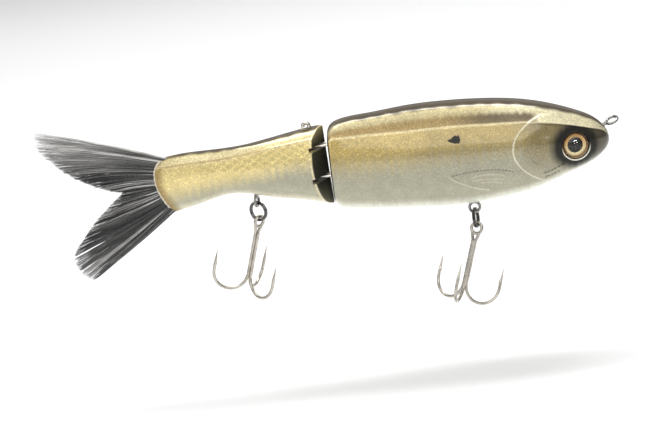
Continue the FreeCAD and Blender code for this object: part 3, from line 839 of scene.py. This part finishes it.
def rear_sections(mat):
    """The right and left halves of the rear section, with the wedge, the hinge slots and the tail slot."""
    places = even_places(REAR_STATIONS[::-1], lambda x: np.full(x.shape, 0.36))
    grid = hull_grid(REAR_STATIONS[::-1], places)
    round_off(grid)
    depth = wedge_depth(grid.reshape(-1, 3)).reshape(grid.shape[:2])
    grid = trimmed(grid, depth, 0.5)
    turn, lean = math.radians(WEDGE_DEG), math.radians(WEDGE_LEAN_DEG)
    face = np.array([math.cos(turn) * math.cos(lean), -math.sin(turn), math.cos(turn) * math.sin(lean)])
    grid = rounded_end(grid, inward_on(grid[-1], face), 0.5)
    for side, name in RIGHT_AND_LEFT:
        half = closed_half(f"rear_half_{name}", grid if side < 0 else mirrored(grid), mat)
        cutters = [new_object("end", *end_block(), mat)]
        for z in HINGE_Z:
            low, high = z - SLOT_HEIGHT / 2, z + SLOT_HEIGHT / 2
            slot = block((PIN_X - 1.2, -110), (-30, 30), (low, high))
            pocket = lathe([(3.15, 0), (3.15, SLOT_HEIGHT)], (PIN_X, 0, low), (0, 0, 1), 48)
            cutters += [new_object("slot", *slot, mat), new_object("pocket", *pocket, mat)]
        tail_slot = block((-212, -193.5), (-1.35, 1.35), (-16.2, 6.0))
        pin_room = block((PIN_X - 4.0, PIN_X + 1.1), (-1.0, 1.0), (11.9, 25))
        cutters += [new_object("tail_slot", *tail_slot, mat), new_object("pin_room", *pin_room, mat)]
        cut(half, *cutters)
        finish_section(half, REAR_STATIONS, True, "rear_section", f"rear_shell_{name}")


def end_depth(x, z):
    """How far each point lies inside the rear section's rounded end."""
    curve = spline(BODY_END, 60)
    ahead = x > np.interp(z, curve[::-1, 1], curve[::-1, 0])
    return np.where(ahead, 1, -1) * away_from(x, z, BODY_END)[0]


def round_off(grid):
    """Narrows the rear section's end to the thickness of the glued fibres, with a rounded shoulder."""
    near = grid[..., 0] < -186
    depth = np.clip(end_depth(grid[near][:, 0], grid[near][:, 2]) / END_ROUND, 0, 1)
    grid[near, 1] *= END_SHARE + (1 - END_SHARE) * np.sqrt(1 - (1 - depth) ** 2)


def end_block():
    """Everything behind the rear section's rounded end."""
    curve = spline(BODY_END, 60)
    outline = [tuple(p) for p in curve] + [(-193.2, -60), (-260, -60), (-260, 50), (-193.0, 50)]
    points = [(x, y, z) for y in (-40, 40) for x, z in outline]
    size = len(outline)
    faces = [list(range(size)), list(range(size, 2 * size))[::-1]]
    faces += [[i, i + size, (i + 1) % size + size, (i + 1) % size] for i in range(size)]
    return points, faces


# ---------------------------------------------------------------- eyes
def eyes(foil, dome):
    """A printed foil disc with a raised pupil under each dome."""
    profile = [(0.05, 0.52), (1.2, 0.50), (2.4, 0.42), (3.1, 0.32), (3.38, 0.24), (3.5, 0.20), (4.2, 0.14),
               (4.85, 0.20), (4.98, 0.27), (5.6, 0.38), (5.95, 0.34), (6.08, 0.20), (6.08, 0.0)]
    heights = np.array(profile)
    radii = np.concatenate([[0.05], np.linspace(0.4, 6.06, 44), [6.08]])
    dense = [(r, np.interp(r, heights[:-1, 0], heights[:-1, 1])) for r in radii] + [(6.08, 0.0)]
    for side, name in RIGHT_AND_LEFT:
        back, axis = eye_frame(side)
        obj = new_object(f"eye_foil_{name}", *lathe(dense, back, axis, 120), foil)
        outward(obj)
        paint_foil(obj, np.array(back), np.array(axis))
        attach(obj, "front_section")
        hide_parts(f"iris_{name}")
        assign(f"eye_lens_{name}", dome)
        eye_rim(name, back, axis)


def paint_foil(obj, back, axis):
    """A black pupil, a gold ring and a bronze ring round it, with fine rays; both rings carry painted shade
    on their upper half and painted light on their lower half.
    """
    reach = vertex_points(obj) - back
    along = reach @ axis
    flat = reach - along[:, None] * axis
    radius, angle = np.linalg.norm(flat, axis=1), np.arctan2(flat[:, 2], flat[:, 0])
    # painted shade from the socket's upper lip darkens the rings' upper half; painted light makes the lower
    # half paler
    low = smooth_step(4.5, -4.5, flat[:, 2])
    bronze = mix(FOIL_BRONZE_SHADED, FOIL_BRONZE_LIT, low)
    gold = mix(FOIL_GOLD_SHADED, FOIL_GOLD_LIT, low)
    outer = smooth_step(4.7, 4.9, radius) * (1 - smooth_step(5.75, 5.95, radius))
    inner = smooth_step(3.36, 3.5, radius) * (1 - smooth_step(4.75, 4.95, radius))
    store(obj, "paint", mix(mix(BLACK, bronze, outer), gold, inner))
    rays = 0.5 + 0.5 * np.sin(angle * 60) * np.sin(angle * 23 + 1.3)
    store(obj, "rays", np.repeat(rays[:, None], 3, axis=1))


def eye_rim(name, back, axis):
    """The thin lip of clear coat left round the eye, with painted shade along its top and a painted highlight
    along its bottom.
    """
    centre = np.array(back + axis * 1.9)
    turn = Vector((0, 0, 1)).rotation_difference(axis).to_matrix()
    angles = np.linspace(0, 2 * math.pi, 121)
    path = [centre + np.array(turn @ Vector((6.28 * math.cos(a), 6.28 * math.sin(a), 0))) for a in angles]
    obj = new_object(f"eye_rim_{name}", *tube(path, 0.27, 10), bpy.data.materials["pearl_paint"])
    points = vertex_points(obj)
    # painted shade above, painted highlight below
    low = smooth_step(1.0, -3.6, points[:, 2] - centre[2])
    store(obj, "paint", mix(BLACK, RIM_HIGHLIGHT, low))
    store(obj, "masks", np.zeros((len(low), 3)))
    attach(obj, "front_section")


def assign(node, mat):
    """Gives a CAD node its finished material."""
    for slot in frame["nodes"][node].material_slots:
        slot.material = mat


# ---------------------------------------------------------------- fibre tail
UPPER_TIPS = [(-216.0, -6.2), (-223.0, -3.8), (-230.0, -0.6), (-237.5, 3.9), (-243.0, 9.0), (-247.8, 14.2),
              (-250.6, 17.5), (-251.2, 22.0), (-251.0, 26.4)]
LOWER_TIPS = [(-216.2, -6.0), (-222.8, -11.2), (-228.7, -16.4), (-233.8, -21.6), (-238.4, -27.0),
              (-242.0, -32.2), (-241.6, -37.4), (-239.2, -42.2), (-236.9, -44.4), (-231.2, -41.9),
              (-226.0, -38.4)]
UPPER_ROOTS = [(-197.0, -5.6), (-196.5, 0.5), (-194.0, 7.2)]
LOWER_ROOTS = [(-197.0, -4.6), (-196.0, -11.0), (-193.6, -16.4)]
UPPER_BOW, LOWER_BOW = 2.6, -1.6
FIBRES, LOCKS = 1150, 36                  # in each lobe
FIBRE_R, FIBRE_STEPS, FIBRE_SIDES = 0.135, 13, 4
FIBRE_TINT, PALE_TIP = (1.0, 0.98, 0.93), (0.60, 0.59, 0.57)
BEAD_POINTS = 90


def fibres(name, roots, tips, bow, pale, mat, node):
    """One lobe: thin tapered fibres, gathered in locks, each curved along the lobe."""
    draw = random.Random(name)
    locks = [(i + draw.uniform(0.2, 0.8)) / LOCKS for i in range(LOCKS)]
    lock_side = [draw.uniform(-1, 1) for _ in locks]
    lock_shade = [draw.choices((0.25, 1.0, 4.6), (5, 4, 4))[0] for _ in locks]
    points, faces, colours = [], [], []
    s = np.linspace(0, 1, FIBRE_STEPS)
    for _ in range(FIBRES):
        w = draw.random()
        k = min(range(LOCKS), key=lambda i: abs(locks[i] - w))
        loose = float(smooth_step(0.55, 0.9, w)) * pale
        at_tip = np.clip(w + (0.58 + 0.32 * loose) * (locks[k] - w) + draw.gauss(0, 0.008), 0, 1)
        whole = draw.random() < 0.9
        length = 1.0 - abs(draw.gauss(0, 0.022 + 0.03 * loose)) if whole else draw.uniform(0.6, 0.95)
        root = spline(roots, at=[w])[0]
        tip = spline(tips, at=[at_tip])[0]
        tip = root + (tip - root) * length
        depth = draw.uniform(-1, 1)
        y0, y1 = 1.15 * depth, 0.9 * depth + 0.9 * lock_side[k] + draw.gauss(0, 0.25)
        side = np.array([-(tip - root)[1], (tip - root)[0]])
        side /= max(np.linalg.norm(side), 1e-6)
        bend = bow * (1 - abs(2 * w - 1) * 0.5) + draw.gauss(0, 0.35)
        middle = (root + tip) / 2 - side * bend
        curve = ((1 - s) ** 2)[:, None] * root + (2 * s * (1 - s))[:, None] * middle
        x, z = (curve + (s * s)[:, None] * tip).T
        ripple = (0.10 + 0.22 * loose) * np.sin(s * draw.uniform(5, 12) + draw.uniform(0, 6)) * s
        path = np.stack([x, y0 + (y1 - y0) * s ** 1.3 + ripple, z + ripple * 0.6], axis=1)
        radius = FIBRE_R * draw.uniform(0.8, 1.25) * (1 - 0.72 * s ** 2.2)
        p, f = tube(path, radius, FIBRE_SIDES)
        faces += [[i + len(points) for i in face] for face in f]
        points += p
        shade = fibre_shade(draw) * lock_shade[k] * (1 + 1.2 * loose)
        fade = pale * float(smooth_step(0.35, 0.95, w))
        rows = mix(np.array(FIBRE_TINT) * min(shade, 0.7), PALE_TIP, smooth_step(0.20, 0.90, s) * fade)
        colours.append(np.repeat(rows, FIBRE_SIDES, axis=0))
    obj = new_object(name, points, faces, mat)
    store(obj, "paint", np.concatenate(colours))
    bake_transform(obj)
    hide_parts(node)


def fibre_shade(draw):
    """Most fibres are near black or dark grey, and a few are paler."""
    shades = (draw.uniform(0.015, 0.04), draw.uniform(0.07, 0.13), draw.uniform(0.22, 0.42))
    return draw.choices(shades, (45, 42, 13))[0]


def glue_bead(mat):
    """The uneven bead of clear glue round the slot that holds the fibres."""
    curve = spline(BODY_END, at=np.linspace(0.16, 0.84, BEAD_POINTS))
    count = np.arange(BEAD_POINTS)
    parts = []
    for side in (-1, 1):
        y = side * (1.75 + 0.10 * wobble(count * 0.6, 20 + side))
        path = np.stack([curve[:, 0] + 0.02, y, curve[:, 1]], axis=1)
        radius = 0.28 + 0.30 * np.abs(wobble(count * 1.7, 30 + side))
        parts.append(tube(path, radius, 10))
    obj = new_object("glue_bead", *joined(parts), mat)
    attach(obj, "rear_section")


# ---------------------------------------------------------------- stage, light and camera
CAMERA_PITCH_DEG, CAMERA_RISE_DEG = 7.2, 17.0
TARGET = (-129.2, 0.0, -27.9)
CAMERA_DISTANCE, CAMERA_LENS = 900.0, 113.0
FLOOR_Z = -100.0
HORIZON, ZENITH = (0.10, 0.10, 0.11), (0.75, 0.75, 0.75)
CATCH_RADIANCE = 110.0                    # watts for each square metre of a catch light
CATCH_LIGHTS = [((0.36, 0.20), math.radians(16), math.radians(20)),      # size, turn and rise of each pane
                ((0.42, 0.04), math.radians(20), math.radians(5))]


def lamp(name, size, power, place, toward):
    data = bpy.data.lights.new(name, "AREA")
    data.shape, data.size, data.size_y, data.energy = "RECTANGLE", size[0], size[1], power
    obj = bpy.data.objects.new(name, data)
    obj.location = place
    obj.rotation_euler = (Vector(toward) - Vector(place)).to_track_quat("-Z", "Y").to_euler()
    bpy.context.scene.collection.objects.link(obj)
    return obj


def stage():
    """A plain pale floor, soft studio lamps and a graded studio sky."""
    mat, nodes, links, shader = material("floor")
    shader.inputs["Base Color"].default_value = (0.93, 0.93, 0.93, 1)
    shader.inputs["Roughness"].default_value = 0.9
    size = 6000
    floor = new_object("floor", [(-size, -size, FLOOR_Z), (size, -size, FLOOR_Z), (size, size, FLOOR_Z),
                                 (-size, size, FLOOR_Z)], [[0, 1, 2, 3]], mat, False)
    middle = (-0.12, 0, -0.01)
    lamp("top_box", (0.7, 0.14), 3.4, (-0.12, 0.16, 0.60), middle)
    lamp("front_box", (0.85, 0.55), 3.5, (0.02, -0.95, 0.50), middle)
    lamp("left_box", (0.4, 0.6), 1.2, (-0.85, -0.55, 0.30), middle)
    lamp("back_box", (1.2, 0.4), 1.8, (-0.1, 0.9, 0.4), middle)
    catch_lights()
    world = bpy.data.worlds.new("studio")
    bpy.context.scene.world = world
    world.use_nodes = True
    nodes, links = world.node_tree.nodes, world.node_tree.links
    axes, ramp = nodes.new("ShaderNodeSeparateXYZ"), nodes.new("ShaderNodeValToRGB")
    ramp.color_ramp.elements[0].color, ramp.color_ramp.elements[1].color = (*HORIZON, 1), (*ZENITH, 1)
    ramp.color_ramp.elements[1].position = 0.75
    links.new(nodes.new("ShaderNodeTexCoord").outputs["Generated"], axes.inputs[0])
    links.new(axes.outputs[2], ramp.inputs[0])
    links.new(ramp.outputs[0], nodes["Background"].inputs[0])
    bpy.context.scene.view_settings.view_transform = "Standard"


def catch_lights():
    """Small window lights that only the eye domes reflect."""
    domes = bpy.data.collections.new("domes")
    for _, name in RIGHT_AND_LEFT:
        domes.objects.link(frame["nodes"][f"eye_lens_{name}"])
    for side, name in RIGHT_AND_LEFT:
        back = eye_frame(side)[0]
        for number, (size, turn, rise) in enumerate(CATCH_LIGHTS):
            level = math.cos(rise)
            place = Vector((math.sin(turn) * level, side * math.cos(turn) * level, math.sin(rise)))
            power = CATCH_RADIANCE * size[0] * size[1]
            pane = lamp(f"catch_{name}_{number}", size, power, place, back * MM)
            pane.light_linking.receiver_collection = domes


def camera():
    """The camera stands to the fish's right, a little above it, and is rolled so that the nose rises."""
    pitch, rise = math.radians(CAMERA_PITCH_DEG), math.radians(CAMERA_RISE_DEG)
    back = Vector((math.sin(rise) * math.sin(pitch), -math.cos(rise), math.sin(rise) * math.cos(pitch)))
    up = Vector((math.sin(pitch), 0, math.cos(pitch)))
    right = up.cross(back).normalized()
    true_up = back.cross(right)
    data = bpy.data.cameras.new("camera")
    data.lens, data.sensor_width = CAMERA_LENS, 36.0
    obj = bpy.data.objects.new("camera", data)
    place = (Vector(TARGET) + back * CAMERA_DISTANCE) * MM
    turn = Matrix((right, true_up, back)).transposed().to_4x4()
    obj.matrix_world = Matrix.Translation(place) @ turn
    bpy.context.scene.collection.objects.link(obj)
    bpy.context.scene.camera = obj


def main():
    camera()
    stage()
    paint = paint_material()
    front_sections(paint)
    rear_sections(paint)
    eyes(iris_material(), dome_material())
    steel = metal_material("bright_wire", (0.66, 0.63, 0.56), 0.17, 0.25)
    # a darker copy of the bright wire for the hook hangers and line tie: painted shade for the dark
    # surroundings these loops reflect
    dark_steel = metal_material("shaded_wire", (0.36, 0.35, 0.33), 0.22, 0.55)
    black = metal_material("black_nickel", (0.13, 0.125, 0.125), 0.24, 0.35)
    tin = metal_material("tinned_steel", (0.56, 0.52, 0.455), 0.27, 0.32)
    lead = lead_material()
    resin = resin_material("root_resin", (0.20, 0.16, 0.10), (0.62, 0.56, 0.42))
    for entry in frame["record"]["subparts"]:
        finish = {"bright_wire": steel, "black_nickel": black, "tinned_steel": tin, "ballast_metal": lead,
                  "root_resin": resin}.get(entry["material_slot"])
        if entry["node"].endswith("hook_hanger") or entry["node"] == "line_tie":
            finish = dark_steel
        if finish:
            assign(entry["node"], finish)
    fibre = fibre_material()
    fibres("tail_upper_fibres", UPPER_ROOTS, UPPER_TIPS, UPPER_BOW, 0.85, fibre, "tail_upper_lobe")
    fibres("tail_lower_fibres", LOWER_ROOTS, LOWER_TIPS, LOWER_BOW, 0.2, fibre, "tail_lower_lobe")
    glue_bead(resin_material("clear_glue", (0.48, 0.40, 0.26), (0.85, 0.80, 0.68)))


main()
